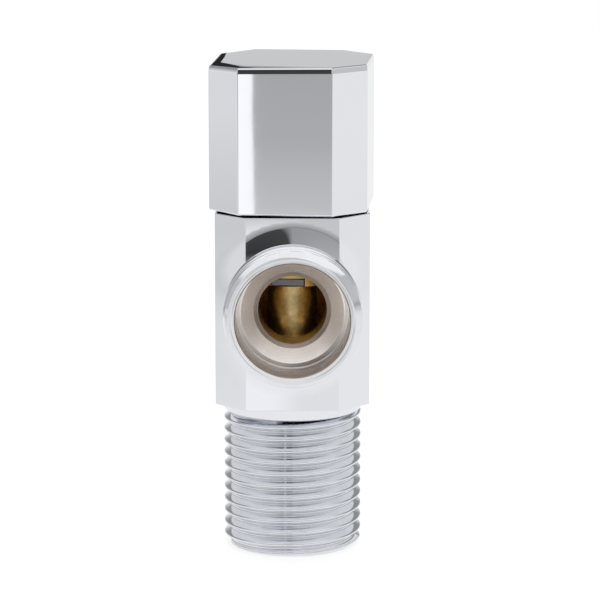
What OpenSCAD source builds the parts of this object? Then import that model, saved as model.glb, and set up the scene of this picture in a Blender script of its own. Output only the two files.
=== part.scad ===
// Angle stop valve with a quarter-turn ceramic headwork.
// The origin is the centre of the inlet's end face. The inlet points down and the outlet along -Y.

/* [Body] */
// Width of the chamfered square body across its flats
body_w = 23.2; // [23:0.1:23.4]
// Width of each large face of the body
face_w = 13.9; // [13:0.1:14.5]
// Height at which the square part of the body starts
body_bottom = 23.1; // [23:0.1:23.6]
// Height of the top of the body
body_top = 52.3; // [52.2:0.1:52.3]
// Height of the cone between the body and the inlet thread
shoulder_h = 1.8; // [1.5:0.1:1.9]

/* [Inlet] */
// Outer radius of the inlet thread, G1/2
inlet_r = 10.478; // [10.336:0.001:10.478]
// Radius of the inlet bore
inlet_bore_r = 6.75; // [6:0.05:7]
// Height at which the inlet bore starts to narrow
inlet_bore_h = 28.8; // [27:0.1:29]

/* [Outlet] */
// Height of the outlet's axis
outlet_z = 38.2; // [38:0.1:38.4]
// Distance from the body's axis to the outlet's end face
outlet_reach = 18.5; // [18.3:0.1:19.5]
// Outer radius of the outlet thread, G1/2 class B
outlet_r = 10.35; // [10.336:0.001:10.478]
// Outer radius of the outlet's end face
outlet_face_r = 9.58; // [9.4:0.01:9.7]
// Radius of the socket in the outlet's mouth
socket_r = 8.47; // [8.2:0.01:8.6]
// Depth of the socket's straight wall
socket_depth = 6.6; // [6:0.1:6.8]
// Radius of the waterway behind the socket
outlet_bore_r = 5.15; // [5:0.05:5.3]

/* [Waterway] */
// Radius of the raised seat's bore
seat_bore_r = 2.9; // [2.85:0.05:2.95]
// Outer radius of the raised seat
seat_r = 3.7; // [3.6:0.05:3.8]
// Height of the top of the raised seat
seat_top = 40.6; // [40.5:0.1:40.7]
// Radius of the chamber around the raised seat
chamber_r = 5.6; // [5.5:0.05:5.8]
// Radius of the chamber around the headwork
headwork_chamber_r = 8.4; // [8.2:0.05:8.5]

/* [Handle] */
// Width of the handle across its flats
handle_w = 23.7; // [23.6:0.1:24.2]
// Width of each large face of the handle
handle_face_w = 13.95; // [13.5:0.05:14.5]
// Height of the handle
handle_h = 22.1; // [21.9:0.1:24]
// Gap between the body and the handle
handle_gap = 0.3; // [0.3:0.05:0.5]
// Angle of the handle to the body when shut
shut_angle = -5.5; // [-8:0.5:0]
// Bevel along the top edge of the handle
handle_bevel = 0.35; // [0.2:0.05:0.6]

/* [Headwork] */
// Width of the bonnet's hexagon across its flats
hex_w = 17; // [16:0.1:17.2]
// Outer radius of the bonnet thread, M18 x 1
bonnet_thread_r = 8.95; // [8.9:0.01:8.96]
// Radius of the spindle
spindle_r = 4; // [3.9:0.05:4.05]
// Running clearance around the spindle
spindle_clearance = 0.05; // [0.03:0.01:0.08]
// Number of teeth on the spindle's spline
spline_teeth = 20; // [12:2:24]
// Radius of the ceramic discs
disc_r = 6.1; // [6:0.05:6.15]
// Half the angle of each port in the discs
port_half_angle = 38; // [30:1:40]

/* [Hidden] */
$fn = 96;
eps = 0.01;

// Whitworth pipe thread G1/2
pitch = 1.814;
thread_depth = 1.162;
groove_root = 0.15;
groove_mouth = groove_root + thread_depth * tan(27.5);
inlet_end_r = inlet_r - 1.03;
shoulder_bottom = body_bottom - shoulder_h;
shoulder_r = inlet_r - 0.08;
inlet_top_groove = shoulder_bottom - 1.0;
inlet_grooves = 11;
outlet_chamfer = outlet_r - outlet_face_r;
outlet_first_groove = outlet_reach - outlet_chamfer - groove_mouth - 0.1;
outlet_grooves = 3;
outlet_neck_r = outlet_r - 0.2;
outlet_neck_end = outlet_first_groove - (outlet_grooves - 1) * pitch - groove_mouth - 0.3;

// Waterway
drill_slope = tan(30);
socket_lip_r = 5.78;
socket_lip_h = 0.35;
socket_cone_h = (socket_r - socket_lip_r) * drill_slope;
chamber_floor = outlet_z - outlet_bore_r - 0.05;
step_z = 39.6;
bonnet_thread_z = body_top - 5.3;
bonnet_hole_r = 9;

// Headwork, from the seat upwards
seal_z = seat_top;
seal_top = 42.2;
seal_in_r = 3;
seal_r = 4.2;
disc_gap = 0.02;
fixed_z = 41.4;
fixed_top = 44.2;
lug_w = 4.8;
lug_top = 42.3;
lug_reach = 7.3;
moving_z = fixed_top + disc_gap;
moving_top = moving_z + 2.5;
hub_r = 1.3;
drive_w = 2;
drive_depth = 1.4;
foot_z = moving_top + disc_gap;
foot_top = foot_z + 3;
foot_r = 5.8;
ring_z = foot_top + disc_gap;
ring_h = 0.8;
skirt_in_r = 6.35;
skirt_r = 7.4;
skirt_z = 41.2;
skirt_roof = ring_z + ring_h + disc_gap;
gasket_h = 0.8;
flange_z = body_top + gasket_h;
flange_h = 1;
flange_r = 10;
hex_top = flange_z + 5;
neck_r = 6.8;
neck_top = 60.5;
washer_h = 0.6;
washer_z = neck_top + disc_gap;
clip_z = washer_z + washer_h + disc_gap;
clip_h = 0.8;
clip_groove_r = 3.4;
spline_z = 62.6;
spline_top = 71;
spline_tip_r = 3.9;
spline_root_r = 3.45;
ring_groove_r = 2.9;
ring_groove_h = 1.5;
lower_groove_z = 53.2;
upper_groove_z = 56.4;
ring_section = 1.1;

// Handle
handle_z = body_top + handle_gap;
handle_top = handle_z + handle_h;
handle_cavity_r = 10.6;
handle_cavity_top = 61.9;
boss_r = 7.2;
boss_cavity_top = handle_top - 2.5;
insert_r = 5.4;
insert_z = spline_z + 0.1;
insert_top = 71.6;
rib_w = 2.4;
screw_rib_w = 6.4;
screw_r = 2;
screw_z = 67;
screw_tip = 4;
screw_end = 10;

// Corners of a square of width w whose corners are cut back so that each flat is f wide
function chamfered_square(w, f) = [
    for (q = [0:3], s = [-1, 1]) [
        cos(q * 90) * w / 2 - sin(q * 90) * s * f / 2,
        sin(q * 90) * w / 2 + cos(q * 90) * s * f / 2
    ]
];

// Section of one thread groove at height z, from the crest down to the root and back
function groove(z, crest_r, depth, mouth, root) = [
    [crest_r, z - mouth],
    [crest_r - depth, z - root],
    [crest_r - depth, z + root],
    [crest_r, z + mouth]
];

// Outline of a spline with straight-sided teeth
function spline_outline(teeth, tip_r, root_r) = [
    for (k = [0:2 * teeth - 1])
        let (r = k % 2 == 0 ? tip_r : root_r, a = k * 180 / teeth)
        [r * cos(a), r * sin(a)]
];

// Upright prism on a chamfered square
module square_prism(w, f, z, h) {
    translate([0, 0, z]) linear_extrude(h) polygon(chamfered_square(w, f));
}

// Cuts a bevel along the top edges of a chamfered square prism
module top_bevel(w, f, z, bevel) {
    for (k = [0:7]) {
        reach = k % 2 == 0 ? w / 2 : (w + f) / (2 * sqrt(2));
        rotate([0, 0, k * 45]) translate([reach, 0, z]) rotate([0, 45, 0])
            translate([-2, -w / 2, -bevel / sqrt(2)]) cube([4, w, 2]);
    }
}

module ring(r_out, r_in, z, h) {
    translate([0, 0, z]) difference() {
        cylinder(r = r_out, h = h);
        translate([0, 0, -1]) cylinder(r = r_in, h = h + 2);
    }
}

module o_ring(z) {
    translate([0, 0, z + ring_groove_h / 2]) rotate_extrude()
        translate([ring_groove_r + 0.04 + ring_section / 2, 0]) circle(d = ring_section, $fn = 48);
}

// Two opposite sectors along the X axis, from radius r_in to r_out
module port_sectors(r_in, r_out, z, h) {
    reach = 2 * r_out;
    for (side = [0, 180]) rotate([0, 0, side]) translate([0, 0, z]) linear_extrude(h)
        intersection() {
            difference() {
                circle(r = r_out);
                circle(r = r_in);
            }
            polygon([[0, 0], [reach * cos(port_half_angle), -reach * sin(port_half_angle)],
                [reach * cos(port_half_angle), reach * sin(port_half_angle)]]);
        }
}

// Body of revolution of the inlet: thread, relief and shoulder
module inlet_blank() {
    rotate_extrude() polygon(concat(
        [[0, 0], [inlet_end_r, 0], [inlet_r, inlet_r - inlet_end_r]],
        [for (k = [inlet_grooves - 1:-1:0])
            each groove(inlet_top_groove - k * pitch, inlet_r, thread_depth, groove_mouth, groove_root)],
        [[shoulder_r, shoulder_bottom], [body_w / 2, body_bottom], [body_w / 2, body_bottom + 1],
            [0, body_bottom + 1]]));
}

// Body of revolution of the outlet, along -Y
module outlet_blank() {
    translate([0, 0, outlet_z]) rotate([90, 0, 0]) rotate_extrude() polygon(concat(
        [[0, 9], [outlet_neck_r, 9], [outlet_neck_r, outlet_neck_end], [outlet_r, outlet_neck_end + 0.15]],
        [for (k = [outlet_grooves - 1:-1:0])
            each groove(outlet_first_groove - k * pitch, outlet_r, thread_depth, groove_mouth, groove_root)],
        [[outlet_r, outlet_reach - outlet_chamfer], [outlet_face_r, outlet_reach], [0, outlet_reach]]));
}

// Socket, drill cone, lip and waterway of the outlet, along -Y
module outlet_hollow() {
    floor_y = outlet_reach - socket_depth;
    lip_y = floor_y - socket_cone_h;
    translate([0, 0, outlet_z]) rotate([90, 0, 0]) rotate_extrude() polygon([
        [0, 0], [outlet_bore_r, 0], [outlet_bore_r, lip_y - socket_lip_h], [socket_lip_r, lip_y],
        [socket_r, floor_y], [socket_r, outlet_reach + 1], [0, outlet_reach + 1]]);
}

// Inlet bore that narrows into the raised seat
module inlet_hollow() {
    cone_h = (inlet_bore_r - seat_bore_r) * drill_slope;
    rotate_extrude() polygon([
        [0, -1], [inlet_bore_r, -1], [inlet_bore_r, inlet_bore_h],
        [seat_bore_r, inlet_bore_h + cone_h], [seat_bore_r, seat_top + 1], [0, seat_top + 1]]);
}

module headwork_hollow() {
    translate([0, 0, chamber_floor]) cylinder(r = chamber_r, h = step_z - chamber_floor + eps);
    translate([0, 0, step_z]) cylinder(r = headwork_chamber_r, h = bonnet_thread_z - step_z + eps);
    translate([0, 0, bonnet_thread_z]) cylinder(r = bonnet_hole_r, h = body_top - bonnet_thread_z + 1);
}

module valve_body() {
    color("silver") difference() {
        union() {
            difference() {
                union() {
                    square_prism(body_w, face_w, body_bottom, body_top - body_bottom);
                    inlet_blank();
                    outlet_blank();
                }
                outlet_hollow();
                headwork_hollow();
            }
            translate([0, 0, chamber_floor - 1]) cylinder(r = seat_r, h = seat_top - chamber_floor + 1);
        }
        inlet_hollow();
    }
}

// Notches at the skirt's foot that hold the fixed disc, and the windows above them
module skirt_openings() {
    notch_w = lug_w + 0.3;
    window_w = 7.6;
    translate([-notch_w / 2, -10, skirt_z - 1]) cube([notch_w, 20, lug_top - skirt_z + 1.15]);
    translate([-window_w / 2, -10, fixed_top]) cube([window_w, 20, moving_top - fixed_top + 0.3]);
}

module bonnet() {
    color("goldenrod") rotate([0, 0, shut_angle]) difference() {
        union() {
            rotate_extrude() polygon(concat(
                [[0, skirt_z], [skirt_r, skirt_z], [skirt_r, bonnet_thread_z + 0.3],
                    [bonnet_thread_r, bonnet_thread_z + 0.9]],
                [for (k = [0:2])
                    each groove(bonnet_thread_z + 1.7 + k, bonnet_thread_r, 0.61, 0.42, 0.07)],
                [[bonnet_thread_r, flange_z], [flange_r, flange_z], [flange_r, flange_z + flange_h],
                    [neck_r, flange_z + flange_h], [neck_r, neck_top - 0.4], [neck_r - 0.4, neck_top],
                    [0, neck_top]]));
            translate([0, 0, flange_z]) intersection() {
                cylinder(d = hex_w / cos(30), h = hex_top - flange_z, $fn = 6);
                translate([0, 0, -1]) cylinder(r1 = 13, r2 = hex_w / 2 + 0.6, h = hex_top - flange_z + 1);
            }
        }
        translate([0, 0, skirt_z - 1]) cylinder(r = skirt_in_r, h = skirt_roof - skirt_z + 1);
        cylinder(r = spindle_r + spindle_clearance, h = neck_top + 1);
        skirt_openings();
    }
}

module bonnet_gasket() {
    color("dimgray") ring(flange_r, bonnet_hole_r + 0.1, body_top, gasket_h);
}

module fixed_disc() {
    color("gainsboro") rotate([0, 0, shut_angle]) difference() {
        union() {
            translate([0, 0, fixed_z]) cylinder(r = disc_r + 0.1, h = fixed_top - fixed_z);
            translate([-lug_w / 2, -lug_reach, fixed_z]) cube([lug_w, 2 * lug_reach, lug_top - fixed_z]);
        }
        translate([0, 0, fixed_z - 1]) cylinder(r = seal_r + 0.1, h = seal_top - fixed_z + 1);
        rotate([0, 0, 90]) port_sectors(1, seat_bore_r, fixed_z, fixed_top - fixed_z + 1);
    }
}

module seat_seal() {
    color("black") ring(seal_r, seal_in_r, seal_z, seal_top - seal_z);
}

module seal_support() {
    color("silver") ring(seal_in_r - 0.02, seal_in_r - 0.3, seal_z + 0.2, seal_top - seal_z - 0.3);
}

module friction_ring() {
    color("white") ring(foot_r, spindle_r + 0.15, ring_z, ring_h);
}

module spindle() {
    groove_w = ring_groove_h;
    color("gold") rotate([0, 0, shut_angle]) union() {
        translate([-drive_w / 2, -5.3, foot_z - drive_depth + 0.1])
            cube([drive_w, 10.6, drive_depth]);
        rotate_extrude() polygon([
            [0, foot_z], [foot_r, foot_z], [foot_r, foot_top], [spindle_r, foot_top],
            [spindle_r, lower_groove_z], [ring_groove_r, lower_groove_z],
            [ring_groove_r, lower_groove_z + groove_w], [spindle_r, lower_groove_z + groove_w],
            [spindle_r, upper_groove_z], [ring_groove_r, upper_groove_z],
            [ring_groove_r, upper_groove_z + groove_w], [spindle_r, upper_groove_z + groove_w],
            [spindle_r, clip_z], [clip_groove_r, clip_z], [clip_groove_r, clip_z + clip_h + disc_gap],
            [spindle_r, clip_z + clip_h + disc_gap], [spindle_r, spline_z], [0, spline_z]]);
        translate([0, 0, spline_z - 0.3]) linear_extrude(spline_top - spline_z + 0.3)
            polygon(spline_outline(spline_teeth, spline_tip_r, spline_root_r));
    }
}

module spindle_o_ring_lower() {
    color("black") o_ring(lower_groove_z);
}

module spindle_o_ring_upper() {
    color("black") o_ring(upper_groove_z);
}

module thrust_washer() {
    color("gold") ring(6.2, spindle_r + 0.1, washer_z, washer_h);
}

module spindle_circlip() {
    color("gray") rotate([0, 0, shut_angle]) difference() {
        ring(5.3, clip_groove_r + 0.05, clip_z, clip_h);
        translate([0, -1.5, clip_z - 1]) cube([8, 3, clip_h + 2]);
    }
}

module moving_disc() {
    color("white") rotate([0, 0, shut_angle]) difference() {
        translate([0, 0, moving_z]) cylinder(r = disc_r, h = moving_top - moving_z);
        port_sectors(hub_r, disc_r + 1, moving_z - 1, moving_top - moving_z + 2);
        translate([-drive_w / 2 - 0.05, -8, moving_top - drive_depth])
            cube([drive_w + 0.1, 16, drive_depth + 1]);
    }
}

// Ribs between the boss and the handle's wall
module handle_ribs() {
    span = handle_cavity_r + 0.2;
    for (q = [0:3]) {
        w = q == 0 ? screw_rib_w : rib_w;
        rotate([0, 0, q * 90]) translate([-w / 2, insert_r + 0.5, handle_cavity_top])
            cube([w, span - insert_r - 0.5, boss_cavity_top - handle_cavity_top]);
    }
}

module handle() {
    boss_h = boss_cavity_top - handle_cavity_top;
    color("silver") rotate([0, 0, shut_angle]) difference() {
        union() {
            difference() {
                square_prism(handle_w, handle_face_w, handle_z, handle_h);
                top_bevel(handle_w, handle_face_w, handle_top, handle_bevel);
                translate([0, 0, handle_z - 1])
                    cylinder(r = handle_cavity_r, h = boss_cavity_top - handle_z + 1);
            }
            translate([0, 0, handle_cavity_top]) cylinder(r = boss_r, h = boss_h + 1);
            handle_ribs();
        }
        translate([0, 0, handle_cavity_top - 1]) cylinder(r = insert_r, h = boss_h + 1);
        translate([0, 0, screw_z]) rotate([-90, 0, 0]) cylinder(r = screw_r + 0.05, h = handle_w);
    }
}

module handle_insert() {
    color("goldenrod") rotate([0, 0, shut_angle]) difference() {
        translate([0, 0, insert_z]) cylinder(r = insert_r - 0.02, h = insert_top - insert_z);
        translate([0, 0, insert_z - 1]) linear_extrude(spline_top - insert_z + 1.2)
            polygon(spline_outline(spline_teeth, spline_tip_r + 0.1, spline_root_r + 0.1));
        translate([0, 0, screw_z]) rotate([-90, 0, 0]) cylinder(r = screw_r + 0.05, h = handle_w);
    }
}

module handle_screw() {
    socket_w = 2;
    color("dimgray") rotate([0, 0, shut_angle]) translate([0, 0, screw_z]) rotate([-90, 0, 0])
        difference() {
            rotate_extrude() polygon([
                [0, screw_tip], [1.2, screw_tip], [screw_r, screw_tip + 0.8], [screw_r, screw_end - 0.3],
                [screw_r - 0.3, screw_end], [0, screw_end]]);
            translate([0, 0, screw_end - 2]) cylinder(d = socket_w / cos(30), h = 3, $fn = 6);
        }
}

valve_body();
bonnet();
bonnet_gasket();
fixed_disc();
seat_seal();
seal_support();
friction_ring();
spindle();
spindle_o_ring_lower();
spindle_o_ring_upper();
thrust_washer();
spindle_circlip();
moving_disc();
handle();
handle_insert();
handle_screw();
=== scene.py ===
"""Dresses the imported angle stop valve: skins with true threads and rounded edges, finishes and a studio."""

import math

import bpy
import numpy as np
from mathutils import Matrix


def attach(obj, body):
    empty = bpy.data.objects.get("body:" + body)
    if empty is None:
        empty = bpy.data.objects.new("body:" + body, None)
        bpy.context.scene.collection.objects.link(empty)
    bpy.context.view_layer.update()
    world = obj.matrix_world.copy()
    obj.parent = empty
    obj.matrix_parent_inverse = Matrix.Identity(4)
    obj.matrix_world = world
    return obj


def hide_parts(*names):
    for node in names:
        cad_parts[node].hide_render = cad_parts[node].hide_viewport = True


bl_info = {
    "name": "Angle Stop Valve",
    "version": (1, 0, 0),
    "blender": (4, 5, 0),
    "location": "View3D > Sidebar > Valve",
    "description": "Builds the skins, finishes and studio of a quarter-turn angle stop valve",
    "category": "Object",
}

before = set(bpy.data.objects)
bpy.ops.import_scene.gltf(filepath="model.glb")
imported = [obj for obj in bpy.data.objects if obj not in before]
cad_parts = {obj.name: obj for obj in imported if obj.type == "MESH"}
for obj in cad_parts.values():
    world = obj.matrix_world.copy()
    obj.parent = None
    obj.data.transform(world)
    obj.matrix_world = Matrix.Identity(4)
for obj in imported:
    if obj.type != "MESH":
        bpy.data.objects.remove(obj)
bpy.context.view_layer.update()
WELD = 1e-7

# Radii of the solid body's holes, which its skin joins on to, and how far out the outlet's bore reaches.
HEAD_BORE = 0.009
INLET_BORE = 0.00675
OUTLET_BORE = 0.00515
OUTLET_BORE_START = 0.009997

# How near the wall of a hole, or a plane, a face or point of a solid has to be to belong to it.
CLEAR = 0.00005
FLAT = 0.00001

# Station at which both threads have a root at angle 0.
THREAD_ROOT = 0.0002

# Finishes of the body's skin in the order of its material slots, and the second one of the handle's; RIM is a
# painted shade on the rims of the socket and the bore.
POLISHED, SATIN, NICKEL, RAW, NOZZLE, FACE, RIM, WALL = range(8)
CAST = 1


# ---------------------------------------------------------------- surfaces

def chamfered_outline(width, face, radius, hole=0.0, inset=0.0, steps=72, arc=6):
    """Outline of a square whose corners are cut back and whose eight upright edges are rounded.

    Face k stands at 45 k degrees from -Y. Its points are reach * normal + u * tangent, and each edge is
    an arc of the given radius about the point that lies that far inside both faces. Where a round hole
    faces -Y, the columns in front of it stand at x = hole * cos(angle) for even angles. With an inset
    every face lies that much further in, and the columns stay the same ones.
    Returns the points and the outward normals, in order from the middle of the back, counter-clockwise.
    """
    eighth = math.pi / 4
    reach = (width / 2, (width + face) / (2 * math.sqrt(2)))
    half = (face / 2, (width - face) / (2 * math.sqrt(2)))
    bend_radius = max(radius - inset, 0.00002)
    cut = radius * math.tan(eighth / 2)
    wanted = hole * np.cos(np.linspace(math.pi, 0, steps + 1))
    points, normals = [], []
    for k in range(4, 12):
        angle = k * eighth - math.pi / 2
        normal = np.array([math.cos(angle), math.sin(angle)])
        along = np.array([-math.sin(angle), math.cos(angle)])
        end = half[k % 2] - cut
        u = np.array([-end, end])
        if hole and 7 <= k <= 9:
            extra = (wanted - reach[k % 2] * normal[0]) / along[0]
            u = np.union1d(u, extra[np.abs(extra) < end - 1e-6])
        fan = angle + eighth * np.arange(1, arc) / arc
        bend = np.column_stack([np.cos(fan), np.sin(fan)])
        depth = reach[k % 2] - inset
        last = half[k % 2] - inset * math.tan(eighth / 2) - bend_radius * math.tan(eighth / 2)
        u = np.where(np.abs(u) > end - 1e-9, np.sign(u) * last, u)
        centre = (depth - bend_radius) * normal + last * along
        points += [depth * normal + u[:, None] * along, centre + bend_radius * bend]
        normals += [np.repeat(normal[None], len(u), 0), bend]
    return np.concatenate(points), np.concatenate(normals)


def flare_height(distance, hole, height, width):
    """Forged flare round the nozzle: height (1 - u)^2, where u runs from 0 at the rim to 1 at its width.
    Returns the height and its slope along the distance."""
    u = np.clip((distance - hole) / width, 0, 1)
    return height * (1 - u) ** 2, -2 * height / width * (1 - u)


def upright_walls(outline, normals, low, high, hole_z, hole, rows=7, flare=(0.0, 0.001)):
    """The faces of a prism, as one grid below a round hole that faces -Y and one above it.

    Height runs from the far edge to the hole's rim, closer together near the rim. The rim is
    hole_z -+ sqrt(hole^2 - x^2) in front of the hole, and hole_z itself everywhere else. A flare stands
    out along -Y by its height at sqrt(x^2 + (z - hole_z)^2) from the hole's axis, and leans the normals.
    """
    gap = np.sqrt(np.clip(hole**2 - outline[:, 0] ** 2, 0, None)) * (outline[:, 1] < 0)
    t = 1 - (1 - np.linspace(0, 1, rows)[:, None]) ** 2
    heights = [low + t * (hole_z - gap - low), (high + t * (hole_z + gap - high))[::-1]]
    flat = np.broadcast_to(np.pad(normals, ((0, 0), (0, 1))), (rows, len(normals), 3))
    share = np.clip(-flat[..., 1] / math.sin(math.pi / 4), 0, 1)
    grids = []
    for z in heights:
        x = np.broadcast_to(outline[:, 0], z.shape)
        distance = np.hypot(x, z - hole_z)
        out, slope = flare_height(distance, hole, *flare)
        away = np.dstack([x, np.zeros_like(x), z - hole_z]) / np.maximum(distance, 1e-9)[..., None]
        lean = flat + (flat[..., 1] * share * slope)[..., None] * away
        points = np.dstack([x, outline[:, 1] - out * share, z])
        grids.append((points, lean / np.linalg.norm(lean, axis=2)[..., None]))
    return grids


def hole_rim(walls, outline, hole):
    """The rim of that hole as one closed ring, counter-clockwise as seen from -Y: the last row of the
    lower grid and the first of the upper one, over the columns with |x| up to the hole's radius."""
    front = np.flatnonzero((outline[:, 1] < 0) & (np.abs(outline[:, 0]) <= hole + 1e-9))
    lower, upper = walls[0][0][-1][front], walls[1][0][0][front]
    return np.concatenate([upper[::-1], lower[1:-1]])


def edge_rows(first, second, tilt, steps=5):
    """Section of an edge that rolls over in two arcs: with the first radius up to the tilt, then with the
    second one up to 90 degrees. An arc adds r (sin b - sin a) outwards and r (cos a - cos b) inwards."""
    later = np.linspace(tilt, math.pi / 2, steps + 1)
    lean = np.unique(np.concatenate([np.linspace(0, tilt, steps + 1), later]))
    early = np.minimum(lean, tilt)
    rise = first * np.sin(early) + second * (np.sin(lean) - np.sin(early))
    inset = first * (1 - np.cos(early)) + second * (np.cos(early) - np.cos(lean))
    return rise, inset, lean


def rolled_edge(outline_at, z, rows, up, drop=0.0):
    """Edge between a prism's faces and its end: the outline moves in as the height moves out, and the
    normal turns from the face's to the end's by the row's lean. The drop lowers each column."""
    end = np.array([0, 0, 1.0 if up else -1.0])
    points, normals = [], []
    for rise, inset, lean in zip(*rows):
        xy, across = outline_at(inset)
        level = np.full(len(xy), z + rise * end[2]) - drop
        points.append(np.column_stack([xy, level]))
        normals.append(math.cos(lean) * np.pad(across, ((0, 0), (0, 1))) + math.sin(lean) * end)
    return np.array(points), np.array(normals)


def bent_profile(corners, radii, steps=5):
    """A polyline of (radius, station) corners with rounded bends, as rows of radius, station and normal.

    Each bend is an arc tangent to both its legs. The normal of a leg (dr, ds) is (ds, -dr), which points
    away from the metal when the outside is followed outwards and the inside back in. A sharp corner
    gives two rows at one place, one for each leg.
    """
    corners = np.asarray(corners, float)
    legs = np.diff(corners, axis=0)
    legs /= np.linalg.norm(legs, axis=1)[:, None]
    sides = np.column_stack([legs[:, 1], -legs[:, 0]])
    rows = [np.concatenate([corners[0], sides[0]])]
    for k, radius in enumerate(radii):
        corner, before, after = corners[k + 1], legs[k], legs[k + 1]
        turn = math.atan2(before[0] * after[1] - before[1] * after[0], before @ after)
        if radius <= 0 or abs(turn) < 1e-6:
            rows += [np.concatenate([corner, sides[k]]), np.concatenate([corner, sides[k + 1]])]
            continue
        start = corner - before * radius * math.tan(abs(turn) / 2)
        side = math.copysign(1, turn)
        centre = start - side * radius * sides[k]
        for a in turn * np.arange(steps + 1) / steps:
            c, s = math.cos(a), math.sin(a)
            n = np.array([c * sides[k][0] - s * sides[k][1], s * sides[k][0] + c * sides[k][1]])
            rows.append(np.concatenate([centre + side * radius * n, n]))
    rows.append(np.concatenate([corners[-1], sides[-1]]))
    return np.array(rows)


def turned(rows, angles, base, e1, e2, axis):
    """Surface of revolution: base + r cos(angle) e1 + r sin(angle) e2 + s axis, for rows of r and s."""
    ring = np.cos(angles)[:, None] * e1 + np.sin(angles)[:, None] * e2
    points = base + rows[:, None, 0:1] * ring + rows[:, None, 1:2] * axis
    return points, rows[:, None, 2:3] * ring + rows[:, None, 3:4] * axis


def whitworth_profile(pitch, steps=4):
    """One turn of the 55 degree pipe thread, as phase from 0 to 1, depth under the crest, and normal.

    Root and crest are arcs of 0.1373 pitch, joined by straight flanks at 27.5 degrees, 0.6403 pitch deep.
    """
    depth, radius = 0.640327 * pitch, 0.137329 * pitch
    sweep = np.linspace(0, math.radians(62.5), steps + 1)
    root = np.column_stack([radius * np.sin(sweep), depth - radius * (1 - np.cos(sweep))])
    back = sweep[::-1]
    crest = np.column_stack([pitch / 2 - radius * np.sin(back), radius * (1 - np.cos(back))])
    half = np.concatenate([root, crest])
    tilt = np.concatenate([sweep, back])
    station = np.concatenate([half[:, 0], pitch - half[-2::-1, 0]])
    under = np.concatenate([half[:, 1], half[-2::-1, 1]])
    lean = np.concatenate([-np.sin(tilt), np.sin(tilt[-2::-1])])
    return station / pitch, under, lean


def helical_thread(angles, base, e1, e2, axis, low, high, crest, pitch, origin, limit, fade):
    """Right-hand thread between two planes, on rows that follow the helix.

    A row starts at its phase and climbs one pitch per turn: s = origin + pitch (k + phase + angle / 2 pi),
    held between the planes. The radius is crest - depth(phase) * fade(s), and never above limit(s).
    """
    phase, under, lean = whitworth_profile(pitch)
    first = math.floor((low - origin) / pitch) - 1
    turns = math.ceil((high - origin) / pitch) - first + 1
    climb = (np.arange(first, first + turns)[:, None] + phase[None, :-1]).ravel()
    s = np.clip(origin + pitch * (climb[:, None] + angles[None] / (2 * math.pi)), low, high)
    here = np.mod((s - origin) / pitch - angles[None] / (2 * math.pi) + 1e-9, 1.0)
    share = fade(s)
    radius = crest - np.interp(here, phase, under) * share
    n_s = np.interp(here, phase, lean) * share
    cap = limit(s)
    capped = radius > cap
    slope = (limit(s + 1e-6) - limit(s - 1e-6)) / 2e-6
    radius = np.where(capped, cap, radius)
    n_s = np.where(capped, -slope / np.sqrt(1 + slope**2), n_s)
    n_r = np.sqrt(np.clip(1 - n_s**2, 0, 1))
    n_t = np.where(capped, 0, -n_s * pitch / (2 * math.pi * radius))
    ring = np.cos(angles)[:, None] * e1 + np.sin(angles)[:, None] * e2
    side = -np.sin(angles)[:, None] * e1 + np.cos(angles)[:, None] * e2
    points = base + radius[..., None] * ring + s[..., None] * axis
    normals = n_r[..., None] * ring + n_s[..., None] * axis + n_t[..., None] * side
    return points, normals / np.linalg.norm(normals, axis=2)[..., None], len(phase) - 1


# ---------------------------------------------------------------- patches and stitching

def patch(grid, finish=POLISHED, shift=0):
    """Corners and normals of every cell of a grid whose columns close into a ring.
    Where the rows follow a helix, the last column meets the first one shift rows further on."""
    points, normals = grid
    rows, columns = points.shape[:2]
    r, c = np.meshgrid(np.arange(rows - 1), np.arange(columns), indexing="ij")
    right = (c + 1) % columns
    step = np.where(c + 1 == columns, shift, 0)
    ends = [(r, c), (r + step, right), (r + 1 + step, right), (r + 1, c)]
    kept = ends[2][0] < rows
    index = np.stack([(a * columns + b)[kept] for a, b in ends], axis=1)
    return points.reshape(-1, 3), normals.reshape(-1, 3), index, finish


def zipped(ring_a, ring_b, centre, e1, e2, normal, finish=POLISHED):
    """Flat ring between two closed loops with any numbers of points: both are sorted by angle about the
    centre, and each step along one loop makes a triangle with the point last passed on the other."""
    loops, turns = [], []
    for ring in (ring_a, ring_b):
        angle = np.arctan2((ring - centre) @ e2, (ring - centre) @ e1)
        order = np.argsort(angle)
        loops.append(ring[order])
        turns.append(angle[order])
    count_a, count_b = len(loops[0]), len(loops[1])
    step_a, step_b = np.arange(count_a), np.arange(count_b)
    seen_b = (np.searchsorted(turns[1], turns[0], side="right") - 1) % count_b
    seen_a = (np.searchsorted(turns[0], turns[1], side="left") - 1) % count_a
    faces = np.concatenate([
        np.column_stack([(step_a - 1) % count_a, step_a, count_a + seen_b]),
        np.column_stack([count_a + (step_b - 1) % count_b, count_a + step_b, seen_a]),
    ])
    points = np.concatenate(loops)
    return points, np.broadcast_to(normal, points.shape), np.column_stack([faces, faces[:, 2]]), finish


def kept_solid(node, keep, finish):
    """The triangles of a CAD node for which keep(corners, centre) is true, with the node's own normals."""
    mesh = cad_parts[node].data
    mesh.calc_loop_triangles()
    count = len(mesh.loop_triangles)
    loops = np.zeros(count * 3, np.int32)
    mesh.loop_triangles.foreach_get("loops", loops)
    corners = np.zeros(len(mesh.loops), np.int32)
    mesh.loops.foreach_get("vertex_index", corners)
    places = np.zeros(len(mesh.vertices) * 3)
    mesh.vertices.foreach_get("co", places)
    normals = np.zeros(len(mesh.loops) * 3)
    mesh.corner_normals.foreach_get("vector", normals)
    points = places.reshape(-1, 3)[corners[loops]]
    normals = normals.reshape(-1, 3)[loops]
    triangles = points.reshape(-1, 3, 3)
    wanted = np.repeat(keep(triangles, triangles.mean(axis=1)), 3)
    points, normals = points[wanted], normals[wanted]
    index = np.arange(len(points)).reshape(-1, 3)
    return points, normals, np.column_stack([index, index[:, 2]]), finish


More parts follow.
